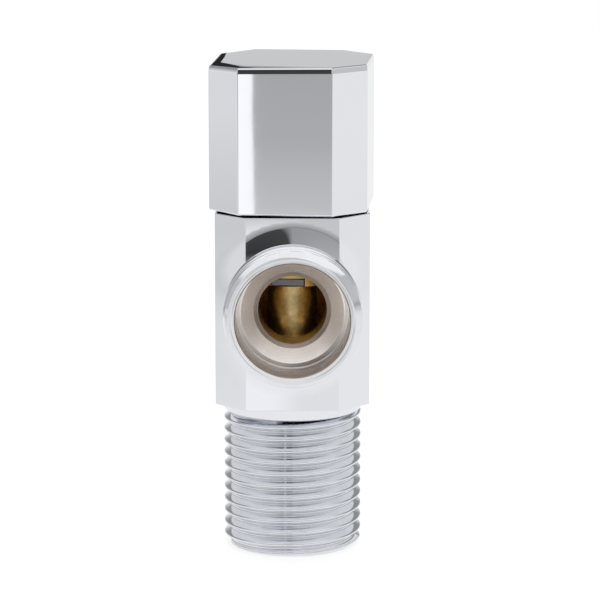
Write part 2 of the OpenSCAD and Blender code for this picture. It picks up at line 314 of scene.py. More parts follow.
def loop_of(part, on_loop):
    """The different points of a part that lie on the loop for which on_loop(points) is true."""
    points = part[0][on_loop(part[0])]
    key = np.round(points / WELD).astype(np.int64)
    _, first = np.unique(key, axis=0, return_index=True)
    return points[first]


def stitched(name, parts, finishes):
    """One mesh from all patches: points closer than the weld distance become one, cells that have
    collapsed to a triangle or less are mended or dropped, and every face is turned to its normals."""
    offsets = np.cumsum([0] + [len(p[0]) for p in parts[:-1]])
    points = np.concatenate([p[0] for p in parts])
    normals = np.concatenate([p[1] for p in parts])
    cells = np.concatenate([p[2] + start for p, start in zip(parts, offsets)])
    finish = np.concatenate([np.full(len(p[2]), p[3]) for p in parts])
    key = np.round(points / WELD).astype(np.int64)
    _, first, same = np.unique(key, axis=0, return_index=True, return_inverse=True)
    same = same.reshape(-1)
    merged = same[cells]
    equal = merged == np.roll(merged, -1, axis=1)
    crossed = (merged[:, 0] == merged[:, 2]) | (merged[:, 1] == merged[:, 3])
    alive = (equal.sum(axis=1) <= 1) & ~crossed
    cells, merged, equal, finish = cells[alive], merged[alive], equal[alive], finish[alive]
    at = points[first]
    across = np.cross(at[merged[:, 2]] - at[merged[:, 0]], at[merged[:, 3]] - at[merged[:, 1]])
    facing = np.einsum("ij,ij->i", across, normals[cells].mean(axis=1)) < 0
    cells[facing], merged[facing] = cells[facing][:, ::-1], merged[facing][:, ::-1]
    equal = merged == np.roll(merged, -1, axis=1)
    use = ~equal
    size = use.sum(axis=1)
    corner, shade = merged[use], normals[cells[use]]
    start = np.concatenate([[0], np.cumsum(size)[:-1]])
    mesh = bpy.data.meshes.new(name)
    mesh.vertices.add(len(at))
    mesh.vertices.foreach_set("co", at.astype(np.float32).ravel())
    mesh.loops.add(len(corner))
    mesh.loops.foreach_set("vertex_index", corner.astype(np.int32))
    mesh.polygons.add(len(size))
    mesh.polygons.foreach_set("loop_start", start.astype(np.int32))
    mesh.polygons.foreach_set("material_index", finish.astype(np.int32))
    mesh.update(calc_edges=True)
    mesh.shade_smooth()
    mesh.normals_split_custom_set(shade.astype(np.float32))
    for material in finishes:
        mesh.materials.append(material)
    piece = bpy.data.objects.new(name, mesh)
    bpy.context.scene.collection.objects.link(piece)
    return piece


# ---------------------------------------------------------------- finishes

def node_maker(nodes):
    """A function that adds a node to a tree, with its settings and the values of its inputs by name."""
    def add(kind, **settings):
        node = nodes.new(kind)
        for key, value in settings.items():
            if key in node.inputs:
                node.inputs[key].default_value = value
            else:
                setattr(node, key, value)
        return node

    return add


def new_finish(name):
    """A material with its links, its principled shader and a function that adds a node."""
    material = bpy.data.materials.new(name)
    material.use_nodes = True
    tree = material.node_tree
    return material, tree.links.new, tree.nodes["Principled BSDF"], node_maker(tree.nodes)


def place_nodes(add, link, centre=(0, 0, 0), turn=(0, 0, 0)):
    """Object coordinates moved to a centre and turned."""
    coordinates = add("ShaderNodeTexCoord")
    mapping = add("ShaderNodeMapping", vector_type="TEXTURE", Location=centre, Rotation=turn)
    link(coordinates.outputs["Object"], mapping.inputs["Vector"])
    return mapping.outputs["Vector"]


def graded(add, link, value, low, high, dark, pale):
    """A colour ramp from dark at low to pale at high."""
    ramp = add("ShaderNodeValToRGB")
    ramp.color_ramp.elements[0].position = low
    ramp.color_ramp.elements[1].position = high
    ramp.color_ramp.elements[0].color = (*dark, 1)
    ramp.color_ramp.elements[1].color = (*pale, 1)
    link(value, ramp.inputs["Fac"])
    return ramp.outputs["Color"]


def keyed(add, link, value, low, high, stops):
    """A grey level that runs straight between (value, level) stops, for values from low to high."""
    node = add("ShaderNodeMapRange", **{"From Min": low, "From Max": high})
    link(value, node.inputs["Value"])
    ramp = add("ShaderNodeValToRGB")
    keys = ramp.color_ramp.elements
    for count, (place, level) in enumerate(stops):
        at = (place - low) / (high - low)
        key = keys[count] if count < 2 else keys.new(at)
        key.position = at
        key.color = (level, level, level, 1)
    link(node.outputs["Result"], ramp.inputs["Fac"])
    return ramp.outputs["Color"]


def between(add, link, value, low, high, first, second):
    """Turns smoothly from the first level to the second as the value goes from low to high."""
    step = add("ShaderNodeMapRange", interpolation_type="SMOOTHSTEP", **{"From Min": low, "From Max": high})
    link(value, step.inputs["Value"])
    mixed = add("ShaderNodeMix", data_type="RGBA")
    link(step.outputs["Result"], mixed.inputs["Factor"])
    link(first, mixed.inputs["A"])
    link(second, mixed.inputs["B"])
    return mixed.outputs["Result"]


def spread(add, link, value, low, high):
    """A number from 0 to 1 mapped onto low to high."""
    node = add("ShaderNodeMapRange", **{"To Min": low, "To Max": high})
    link(value, node.inputs["Value"])
    return node.outputs["Result"]


def relief(add, link, height, distance, strength, below=None):
    """A bump of the given height in metres."""
    bump = add("ShaderNodeBump", Distance=distance, Strength=strength)
    link(height, bump.inputs["Height"])
    if below is not None:
        link(below, bump.inputs["Normal"])
    return bump.outputs["Normal"]


def shaded(tone, share):
    """A colour times a share."""
    return [part * share for part in tone]


def noise(add, link, vector, scale, detail=3.0, roughness=0.5):
    """Noise read at the given places."""
    node = add("ShaderNodeTexNoise", Scale=scale, Detail=detail, Roughness=roughness)
    link(vector, node.inputs["Vector"])
    return node.outputs["Fac"]


def ring_places(add, link, centre, turn):
    """For turned marks: the distance from an axis and the station along it, as a vector."""
    vector = place_nodes(add, link, centre, turn)
    parts = add("ShaderNodeSeparateXYZ")
    link(vector, parts.inputs["Vector"])
    flat = add("ShaderNodeCombineXYZ")
    link(parts.outputs["X"], flat.inputs["X"])
    link(parts.outputs["Y"], flat.inputs["Y"])
    length = add("ShaderNodeVectorMath", operation="LENGTH")
    link(flat.outputs["Vector"], length.inputs[0])
    joined = add("ShaderNodeCombineXYZ")
    link(length.outputs["Value"], joined.inputs["X"])
    link(parts.outputs["Z"], joined.inputs["Y"])
    return joined.outputs["Vector"], vector


def either(add, link, share, first, second):
    """Two shaders mixed by a share, which is 1 where only the second one shows."""
    mix = add("ShaderNodeMixShader")
    link(share, mix.inputs["Fac"])
    link(first, mix.inputs[1])
    link(second, mix.inputs[2])
    return mix.outputs["Shader"]


def polished_chrome(colour):
    """Mirror plating: hardly any roughness, with the slow waves and faint haze that polishing leaves."""
    material, link, shader, add = new_finish("polished_chrome")
    place = place_nodes(add, link)
    shader.inputs["Base Color"].default_value = (*colour, 1)
    shader.inputs["Metallic"].default_value = 1.0
    haze = noise(add, link, place, 260, 4)
    link(spread(add, link, haze, 0.01, 0.045), shader.inputs["Roughness"])
    waves = noise(add, link, place, 110, 1)
    link(relief(add, link, waves, 0.000012, 0.6), shader.inputs["Normal"])
    return material


def turned_metal(name, pale, dark, rough, centre, turn, marks=9000, depth=0.000012, metal=1.0):
    """Turned metal: fine rings about an axis, uneven plating and a satin roughness."""
    material, link, shader, add = new_finish(name)
    rings, place = ring_places(add, link, centre, turn)
    shader.inputs["Metallic"].default_value = metal
    cloud = noise(add, link, place, 420, 4, 0.6)
    link(graded(add, link, cloud, 0.35, 0.65, dark, pale), shader.inputs["Base Color"])
    lines = noise(add, link, rings, marks, 2)
    link(spread(add, link, lines, rough * 0.75, rough * 1.3), shader.inputs["Roughness"])
    grain = noise(add, link, place, 3500, 2)
    under = relief(add, link, grain, 0.000006, 0.5)
    link(relief(add, link, lines, depth, 0.7, under), shader.inputs["Normal"])
    return material


def rough_brass(pale, dark):
    """Cast and drilled brass: blotchy tone, tool chatter and a grainy skin."""
    material, link, shader, add = new_finish("rough_brass")
    place = place_nodes(add, link)
    shader.inputs["Metallic"].default_value = 1.0
    blotch = noise(add, link, place, 700, 5, 0.65)
    link(graded(add, link, blotch, 0.32, 0.68, dark, pale), shader.inputs["Base Color"])
    link(spread(add, link, blotch, 0.45, 0.28), shader.inputs["Roughness"])
    pits = add("ShaderNodeTexVoronoi", feature="SMOOTH_F1", Scale=1500)
    link(place, pits.inputs["Vector"])
    under = relief(add, link, pits.outputs["Distance"], 0.00004, 0.5)
    link(relief(add, link, noise(add, link, place, 3000, 3), 0.00002, 0.5, under), shader.inputs["Normal"])
    return material


def moulded(name, pale, dark, rough, metal=0.0, scale=900, coat=0.0, sheen=0.0):
    """Rubber, plastic, ceramic or ground steel: a slight cloud of tone, grain and roughness."""
    material, link, shader, add = new_finish(name)
    place = place_nodes(add, link)
    shader.inputs["Metallic"].default_value = metal
    shader.inputs["Coat Weight"].default_value = coat
    shader.inputs["Sheen Weight"].default_value = sheen
    cloud = noise(add, link, place, scale, 4, 0.6)
    link(graded(add, link, cloud, 0.3, 0.7, dark, pale), shader.inputs["Base Color"])
    link(spread(add, link, cloud, rough * 1.2, rough * 0.8), shader.inputs["Roughness"])
    link(relief(add, link, noise(add, link, place, scale * 4, 2), 0.00001, 0.4), shader.inputs["Normal"])
    return material


def dress(names, material):
    """Gives CAD nodes their finish."""
    for name in names:
        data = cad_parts[name].data
        data.materials.clear()
        data.materials.append(material)


# ---------------------------------------------------------------- settings

def length(name, default, text):
    return bpy.props.FloatProperty(
        name=name, default=default, description=text, unit="LENGTH", precision=5, min=0.0)


def colour(name, default, text):
    return bpy.props.FloatVectorProperty(
        name=name, default=default, description=text, subtype="COLOR", size=3, min=0.0, max=1.0)


class ValveBodySizes(bpy.types.PropertyGroup):
    """Sizes of the body's skin."""

    width: length("Width", 0.0232, "Width of the body across its flats")
    face: length("Face", 0.0139, "Width of each large face")
    bottom: length("Bottom", 0.0231, "Height at which the square part starts")
    top: length("Top", 0.0523, "Height of the top of the body")
    edge: length("Upright edge", 0.00022, "Radius of the upright edges")
    rim: length("End edge", 0.00012, "Radius of the edges round the top and the bottom")
    shoulder: length("Shoulder", 0.0018, "Height of the cone above the inlet thread")
    inlet_radius: length("Inlet thread", 0.010478, "Outer radius of the inlet thread")
    inlet_chamfer: length("Inlet chamfer", 0.00103, "Chamfer at the inlet's end")
    outlet_height: length("Outlet height", 0.0382, "Height of the outlet's axis")
    outlet_reach: length("Outlet reach", 0.0185, "Distance from the body's axis to the outlet's end")
    outlet_radius: length("Outlet thread", 0.01035, "Outer radius of the outlet thread")
    outlet_neck: length("Outlet neck", 0.01015, "Radius of the neck behind the outlet thread")
    outlet_face: length("Outlet face", 0.00958, "Outer radius of the outlet's end face")
    flare: length("Flare", 0.00054, "Height of the forged flare round the neck")
    flare_width: length("Flare width", 0.0033, "Width of the forged flare round the neck")
    socket: length("Socket", 0.00847, "Radius of the socket in the outlet's mouth")
    lip: length("Lip", 0.00578, "Radius of the bore's rim at the bottom of the socket")
    socket_depth: length("Socket depth", 0.0066, "Depth of the socket's straight wall")
    pitch: length("Pitch", 0.001814, "Pitch of both pipe threads")


class ValveHandleSizes(bpy.types.PropertyGroup):
    """Sizes of the handle's skin."""

    width: length("Width", 0.0237, "Width of the handle across its flats")
    face: length("Face", 0.01395, "Width of each large face")
    bottom: length("Bottom", 0.0526, "Height of the handle's lower edge")
    top: length("Top", 0.0747, "Height of the handle's top")
    edge: length("Upright edge", 0.0003, "Radius of the upright edges")
    roll: length("Top roll", 0.0024, "Radius with which polishing has rolled the upper edge off")
    crown: length("Top edge", 0.00035, "Radius of the edge round the top")
    wear: length("Wear", 0.0003, "How far the top is worn down at one side")
    wear_width: length("Wear width", 0.0023, "Width of the worn strip")
    rim: length("Lower edge", 0.0003, "Radius of the edge round the bottom")
    screw: length("Screw hole", 0.0023, "Radius of the flat rim round the screw hole")
    screw_height: length("Screw height", 0.067, "Height of the screw hole")
    turn: bpy.props.FloatProperty(
        name="Turn", default=math.radians(-5.5), subtype="ANGLE",
        description="Angle of the shut handle to the body")


class ValveFinishes(bpy.types.PropertyGroup):
    """Colours of the finishes."""

    chrome: colour("Chrome", (0.855, 0.867, 0.905), "Polished plating")
    satin: colour("Satin chrome", (0.81, 0.83, 0.865), "Plated threads")
    face: colour("End face", (0.86, 0.87, 0.89), "Turned end face of the outlet")
    nickel: colour("Nickel", (0.87, 0.82, 0.785), "Floor of the outlet's socket")
    rim_shade: colour("Rim shade", (0.36, 0.30, 0.25), "Rims of the socket and the bore")
    # Painted shade: a dark colour on the rims of the socket and the bore stands in for the shade that falls
    # in them.
    wall: colour("Socket wall", (0.82, 0.765, 0.72), "Wall of the socket")
    brass: colour("Brass", (0.62, 0.42, 0.17), "Machined brass")
    raw: colour("Raw brass", (0.86, 0.64, 0.31), "Cast and drilled brass inside")
    rubber: colour("Rubber", (0.02, 0.02, 0.022), "Seals and rings")
    ceramic: colour("Ceramic", (0.80, 0.79, 0.76), "Discs")
    steel: colour("Steel", (0.50, 0.50, 0.52), "Circlip, screw and seal support")
    plastic: colour("Plastic", (0.82, 0.82, 0.80), "Friction ring")


class ValveStudio(bpy.types.PropertyGroup):
    """Camera and light."""

    camera_place: bpy.props.FloatVectorProperty(
        name="Camera", default=(-0.000133, -0.4674, 0.1292), subtype="TRANSLATION", unit="LENGTH",
        description="Place of the camera")
    pitch: bpy.props.FloatProperty(
        name="Pitch", default=math.radians(11.07), subtype="ANGLE", description="How far it looks down")
    yaw: bpy.props.FloatProperty(
        name="Yaw", default=math.radians(0.158), subtype="ANGLE", description="How far it looks to the right")
    lens: bpy.props.FloatProperty(
        name="Lens", default=187.8, description="Focal length on a 36 mm sensor")
    lamp: bpy.props.FloatProperty(name="Lamps", default=1.0, min=0.0, description="Strength of the lamps")


# ---------------------------------------------------------------- pieces

X, Y, Z = np.eye(3)


class VALVE_OT_body(bpy.types.Operator):
    """Body with rounded edges, helical threads, shoulder and socket; the waterway comes from the solid"""

    bl_idname = "valve.body"
    bl_label = "Body"

    def execute(self, context):
        size, tone = context.scene.valve_body_sizes, context.scene.valve_finishes
        height, neck = size.outlet_height, size.outlet_neck

        def outline_at(inset):
            return chamfered_outline(size.width, size.face, size.edge, neck, inset)

        outline, normals = outline_at(0.0)
        low, high = size.bottom + size.rim, size.top - size.rim
        flare = (size.flare, size.flare_width)
        walls = upright_walls(outline, normals, low, high, height, neck, 26, flare)
        rows = edge_rows(size.rim, size.rim, math.pi / 4)
        top_edge = rolled_edge(outline_at, high, rows, True)
        low_edge = rolled_edge(outline_at, low, rows, False)

        def is_inside(_, centre):
            """Faces of the hollows: near the body's axis or, in front of it, near the outlet's; off the
            end planes and behind the socket."""
            upright = np.hypot(centre[:, 0], centre[:, 1]) < HEAD_BORE + CLEAR
            level = np.hypot(centre[:, 0], centre[:, 2] - height) < OUTLET_BORE + CLEAR
            between = (centre[:, 2] < size.top - FLAT) & (centre[:, 2] > FLAT)
            behind = centre[:, 1] > FLAT - OUTLET_BORE_START
            return (upright | (level & (centre[:, 1] < 0))) & between & behind

        inside = kept_solid("valve_body", is_inside, RAW)
        parts = [patch(g) for g in (*walls, top_edge, low_edge)] + [inside]

        def ring_at(radius, station, axis, origin):
            def test(p):
                along = (p - origin) @ axis
                out = np.linalg.norm((p - origin) - along[:, None] * axis, axis=1)
                return (np.abs(along - station) < 2 * FLAT) & (np.abs(out - radius) < 2 * FLAT)
            return loop_of(inside, test)

        origin = np.zeros(3)
        head = ring_at(HEAD_BORE, size.top, Z, origin)
        parts.append(zipped(top_edge[0][-1], head, Z * size.top, X, Y, Z))
        parts += self.inlet(size, low_edge[0][-1], ring_at(INLET_BORE, 0, Z, origin))
        nose = np.array([0, 0, height])
        bore = ring_at(OUTLET_BORE, OUTLET_BORE_START, -Y, nose)
        parts += self.outlet(size, hole_rim(walls, outline, neck), nose, bore)
        axis = (0, 0, 0), (0, 0, 0)
        pipe = (0, 0, height), (math.pi / 2, 0, 0)
        satin, nickel, nozzle, face, rim_shade, wall = (
            turned_metal(name, pale, shaded(pale, share), rough, *about, marks, depth, metal)
            for name, pale, share, rough, about, marks, depth, metal in (
                ("satin_chrome", tone.satin, 0.94, 0.09, axis, 7000, 0.000004, 1.0),
                ("dull_nickel", tone.nickel, 0.94, 0.24, pipe, 6000, 0.000012, 1.0),
                ("nozzle_chrome", tone.chrome, 0.95, 0.1, pipe, 7000, 0.000006, 1.0),
                ("turned_face", tone.face, 0.94, 0.2, pipe, 5000, 0.000012, 1.0),
                # The rims' finish is painted shade: a dark colour in place of the shade at the socket's mouth
                # and the bore's lip.
                ("rim_shade", tone.rim_shade, 0.8, 0.3, pipe, 5000, 0.00001, 0.85),
                ("socket_wall", tone.wall, 0.9, 0.26, pipe, 6000, 0.000012, 1.0)))
        chrome, raw = polished_chrome(tone.chrome), rough_brass(tone.raw, shaded(tone.raw, 0.6))
        body = stitched("body_skin", parts, [chrome, satin, nickel, raw, nozzle, face, rim_shade, wall])
        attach(body, "valve")
        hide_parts("valve_body")
        return {"FINISHED"}

    @staticmethod
    def inlet(size, skirt, bore):
        """Underside, shoulder cone, narrow relief, thread and end face, followed down the inlet."""
        angles = np.arange(192) * 2 * math.pi / 192
        around = (np.zeros(3), X, -Y, -Z)
        foot, rim = -size.bottom, -(size.bottom - size.shoulder)
        wide, neck = size.width / 2 - size.rim - 0.00003, size.inlet_radius - 0.00008
        relief_radius, first = 0.0098, rim + 0.00025
        corners = [(wide, foot), (neck, rim), (relief_radius, rim + 0.00003), (relief_radius, first)]
        shoulder = bent_profile(corners, [0.00012, 0.00005])
        end = size.inlet_radius - size.inlet_chamfer

        def limit(s):
            return np.minimum(size.inlet_radius, end - s)

        def fade(s):
            return np.ones_like(s)

        thread, lean, shift = helical_thread(
            angles, *around, first, 0.0, size.inlet_radius, size.pitch, THREAD_ROOT, limit, fade)
        cone = turned(shoulder, angles, *around)
        return [
            zipped(skirt, cone[0][0], Z * size.bottom, X, Y, -Z),
            patch(cone),
            zipped(cone[0][-1], thread[0], -Z * first, X, Y, Z, SATIN),
            patch((thread, lean), SATIN, shift),
            zipped(thread[-1], bore, np.zeros(3), X, Y, -Z, SATIN),
        ]

    @staticmethod
    def outlet(size, rim, nose, bore):
        """Neck, thread, end face with its turned step, socket, drilled floor and lip."""
        angles = np.arctan2(rim[:, 2] - nose[2], rim[:, 0])
        angles = np.where(angles < -1e-9, angles + 2 * math.pi, angles)
        around = (nose, X, Z, -Y)
        start, reach, slope, runout = 0.0124, size.outlet_reach, 0.00025, 0.0011
        ring = np.cos(angles)[:, None] * X + np.sin(angles)[:, None] * Z
        straight, crest = size.outlet_neck, size.outlet_radius
        neck_end = nose + straight * ring - (start - slope) * Y
        step_end = nose + crest * ring - start * Y
        tilt = (crest - straight) / slope
        sloped = (ring + tilt * Y) / math.hypot(1, tilt)
        neck = (np.stack([rim, neck_end]), np.stack([ring, ring]))
        step = (np.stack([neck_end, step_end]), np.stack([sloped, sloped]))

        def limit(s):
            return np.minimum(size.outlet_radius, size.outlet_face + reach - s)

        def fade(s):
            t = np.clip((s - start) / runout, 0, 1)
            return t * t * (3 - 2 * t)

        thread, lean, shift = helical_thread(
            angles, *around, start, reach, size.outlet_radius, size.pitch, THREAD_ROOT, limit, fade)
        floor = reach - size.socket_depth
        lip = floor - (size.socket - size.lip) * math.tan(math.pi / 6)
        mark, depth, soft = 0.00915, 0.00004, 0.00002
        face = bent_profile(
            [(mark, reach), (mark - 0.00009, reach - depth), (mark - 0.00019, reach - depth),
             (mark - 0.00027, reach), (size.socket, reach)], [soft, soft, soft])
        chamfer, ledge = 0.00014, size.socket - 0.0007
        hollow = bent_profile(
            [(size.socket + chamfer, reach), (size.socket, reach - chamfer), (size.socket, floor),
             (ledge, floor), (size.lip, lip), (OUTLET_BORE + 0.0001, lip - 0.0003)],
            [0.00003, 0.00015, 0.0005, 0.00008])
        socket = turned(hollow, angles, *around)
        # Rows given RIM are the socket's mouth chamfer and the bore's lip, which take the painted shade.
        spans = [(0, 7, RIM), (6, 8, WALL), (7, 13, NICKEL), (12, 20, NICKEL), (19, 26, RIM)]
        face_rows = turned(face[face[:, 0] > size.socket + 0.0001], angles, *around)
        join = np.stack([face_rows[0][-1], socket[0][0]]), np.broadcast_to(-Y, (2, len(angles), 3))
        outer = np.stack([thread[-1], face_rows[0][0]]), np.broadcast_to(-Y, (2, len(angles), 3))
        return [
            patch(neck, NOZZLE), patch(step, NOZZLE), patch((thread, lean), NOZZLE, shift),
            patch(outer, FACE), patch(face_rows, FACE), patch(join, FACE),
            zipped(socket[0][-1], bore, nose, X, Z, -Y, RIM),
        ] + [patch((socket[0][first:last], socket[1][first:last]), finish) for first, last, finish in spans]


class VALVE_OT_handle(bpy.types.Operator):
    """Handle with rounded edges, a rolled upper edge and a worn top; its hollow comes from the solid"""

    bl_idname = "valve.handle"
    bl_label = "Handle"

    def execute(self, context):
        size = context.scene.valve_handle_sizes
        corner_reach = (size.width + size.face) / (2 * math.sqrt(2))

        def outline_at(inset):
            return chamfered_outline(size.width, size.face, size.edge, size.screw, inset, 24)

        def worn(xy):
            """How far polishing has worn the top down: deepest along two of its edges, on one side."""
            ways = ((1.0, 0.0, size.width / 2), (math.sqrt(0.5), math.sqrt(0.5), corner_reach))
            depth, lean = np.zeros(xy.shape[:-1]), np.zeros(xy.shape)
            for wx, wy, edge in ways:
                near = np.clip(1 - (edge - xy[..., 0] * wx - xy[..., 1] * wy) / size.wear_width, 0, 1)
                depth += size.wear * near**2
                lean += (2 * size.wear / size.wear_width * near)[..., None] * np.array([wx, wy])
            return depth, lean

        outline, normals = outline_at(0.0)
        roll = edge_rows(size.roll, size.crown, math.radians(18))
        low, high = size.bottom + size.rim, size.top - roll[0][-1]
        top_outline = outline_at(roll[1][-1])[0]
        drop = worn(top_outline)[0]
        walls = upright_walls(outline, normals, low, high - drop, size.screw_height, size.screw)
        low_edge = rolled_edge(outline_at, low, edge_rows(size.rim, size.rim, math.pi / 4), False)
        top_edge = rolled_edge(outline_at, high, roll, True, drop)
        shrink = 1 - np.linspace(0, 1, 25)[:, None, None] ** 1.5
        crown = np.pad(top_outline, ((0, 0), (0, 1)))[None] * shrink + [0, 0, size.top]
        depth, lean = worn(crown[..., :2])
        crown[..., 2] -= depth
        tilted = np.dstack([lean, np.ones(lean.shape[:2])])
        top = crown, tilted / np.linalg.norm(tilted, axis=2)[..., None]
        turn = math.pi + size.turn
        c, s = math.cos(turn), math.sin(turn)
        spin = np.array([[c, -s, 0], [s, c, 0], [0, 0, 1]])

        def swing(grid):
            return grid[0] @ spin.T, grid[1] @ spin.T

        faces = [swing(g) for g in (*walls, low_edge, top_edge, top)]
        width, depth_inside = size.width, 0.0003

        def is_inside(corners, centre):
            """Faces of the hollow: well inside every outer face, and off the bottom plane."""
            local = np.abs(centre @ spin)
            flat = np.maximum(local[:, 0], local[:, 1]) - width / 2
            cut = (local[:, 0] + local[:, 1]) / math.sqrt(2) - corner_reach
            deep = np.maximum(flat, cut) < -depth_inside
            off = corners[:, :, 2].max(axis=1) > size.bottom + FLAT
            return deep & off & (centre[:, 2] < size.top - depth_inside)

        inside = kept_solid("handle", is_inside, CAST)
        rim = loop_of(inside, lambda p: np.abs(p[:, 2] - size.bottom) < FLAT)
        back = spin @ -Y
        side = spin @ X
        far = loop_of(inside, lambda p: np.abs(p @ back - width / 2) < 2 * FLAT)
        ring = hole_rim(walls, outline, size.screw) @ spin.T
        centre = back * width / 2 + Z * size.screw_height
        parts = [patch(g) for g in faces] + [
            inside,
            zipped(faces[2][0][-1], rim, Z * size.bottom, X, Y, -Z),
            zipped(ring, far, centre, side, Z, back),
        ]
        cast = moulded("cast_zinc", (0.56, 0.57, 0.58), (0.44, 0.45, 0.47), 0.42, 1.0, 500)
        handle = stitched("handle_skin", parts, [bpy.data.materials["polished_chrome"], cast])
        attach(handle, "handle_group")
        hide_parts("handle")
        return {"FINISHED"}


class VALVE_OT_brass(bpy.types.Operator):
    """Finish of the turned brass pieces: bonnet, spindle, thrust washer and handle insert"""

    bl_idname = "valve.brass"
    bl_label = "Brass headwork"

    def execute(self, context):
        tone = context.scene.valve_finishes
        brass = turned_metal(
            "turned_brass", tone.brass, shaded(tone.brass, 0.8), 0.25, (0, 0, 0), (0, 0, 0), 7000)
        dress(["bonnet", "spindle", "thrust_washer", "handle_insert"], brass)
        return {"FINISHED"}


class VALVE_OT_discs(bpy.types.Operator):
    """Finish of the two ceramic discs"""

    bl_idname = "valve.discs"
    bl_label = "Ceramic discs"

    def execute(self, context):
        tone = context.scene.valve_finishes
        fixed = moulded("grey_ceramic", (0.22, 0.21, 0.23), (0.17, 0.17, 0.18), 0.3, 0, 1200, 0.2)
        dress(["fixed_disc"], fixed)
        moving = moulded("white_ceramic", tone.ceramic, shaded(tone.ceramic, 0.92), 0.22, 0, 1200, 0.3)
        dress(["moving_disc"], moving)
        return {"FINISHED"}


class VALVE_OT_seals(bpy.types.Operator):
    """Finish of the rubber seals, rings and gasket"""

    bl_idname = "valve.seals"
    bl_label = "Rubber seals"

    def execute(self, context):
        tone = context.scene.valve_finishes
        rubber = moulded("rubber", shaded(tone.rubber, 1.6), tone.rubber, 0.55, 0, 1500, 0, 0.1)
        dress(["seat_seal", "bonnet_gasket", "spindle_o_ring_lower", "spindle_o_ring_upper"], rubber)
        return {"FINISHED"}


class VALVE_OT_fixings(bpy.types.Operator):
    """Finish of the steel pieces and of the plastic friction ring"""

    bl_idname = "valve.fixings"
    bl_label = "Steel pieces and friction ring"

    def execute(self, context):
        tone = context.scene.valve_finishes
        steel = moulded("ground_steel", tone.steel, shaded(tone.steel, 0.8), 0.3, 1.0, 2000)
        dress(["spindle_circlip", "handle_screw", "seal_support"], steel)
        plastic = moulded("white_plastic", tone.plastic, shaded(tone.plastic, 0.94), 0.4, 0, 800)
        dress(["friction_ring"], plastic)
        return {"FINISHED"}


